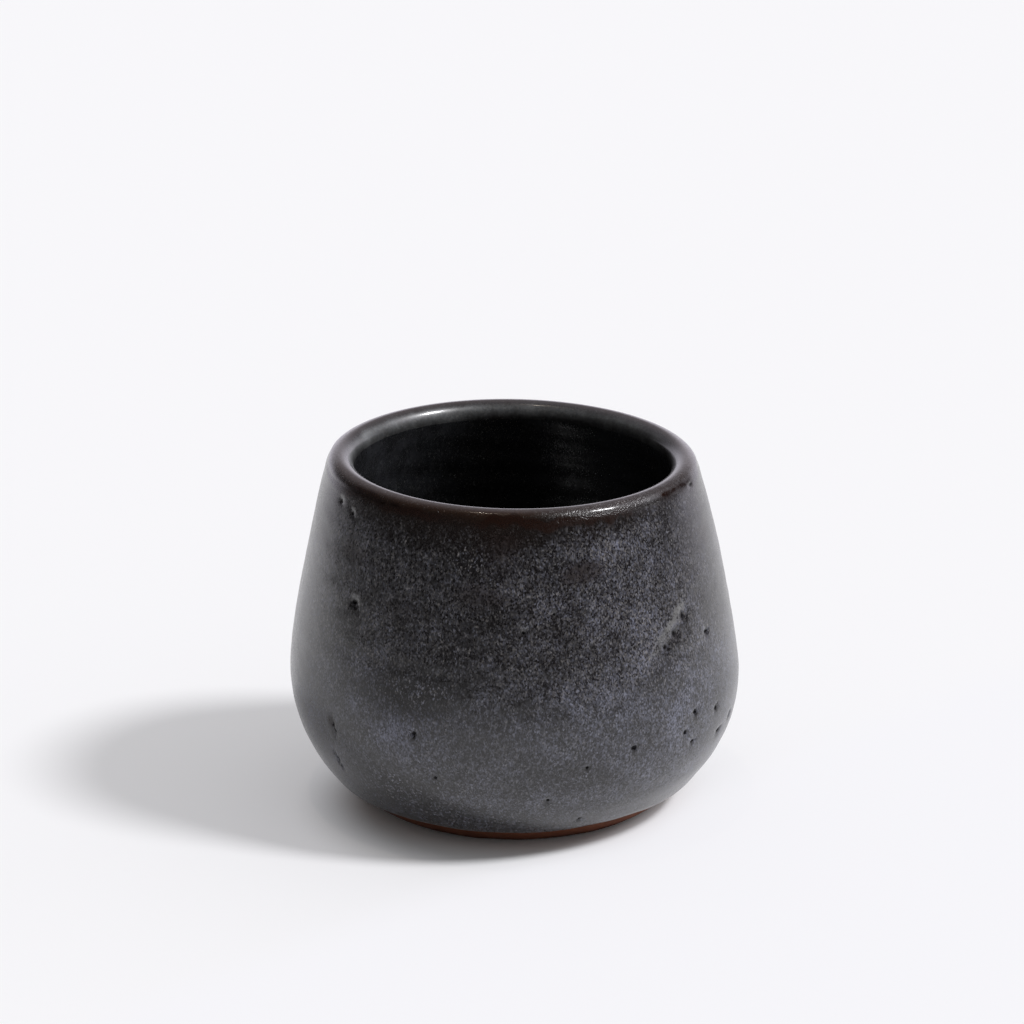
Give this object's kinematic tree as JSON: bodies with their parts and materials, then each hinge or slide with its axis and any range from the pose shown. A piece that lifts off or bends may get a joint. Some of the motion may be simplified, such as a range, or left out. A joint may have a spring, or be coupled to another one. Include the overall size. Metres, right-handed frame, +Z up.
{
  "type": "coffee cup",
  "caption": "Handleless round-bellied stoneware coffee cup with a rounded lip, dark glaze inside and out, and a bare clay foot ring to stand on.",
  "frame": {"origin": "centre of the foot ring on the table, the bottom centre of the bounding box", "axes": "+Z up along the cup's axis of rotation, out of its mouth; X and Y are alike"},
  "size_m": [0.086, 0.086, 0.068],
  "materials": {
    "bare_clay": "matt, toasted orange-brown stoneware",
    "charcoal_glaze": "satin charcoal-blue with a fine grey fleck",
    "brown_glaze": "gloss brown where the glaze breaks thin over the lip",
    "black_glaze": "semi-gloss near-black liner"
  },
  "bodies": {
    "root": {"clay_body": "bare_clay", "outer_glaze": "charcoal_glaze", "lip_glaze": "brown_glaze", "liner_glaze": "black_glaze"}
  },
  "joints": []
}
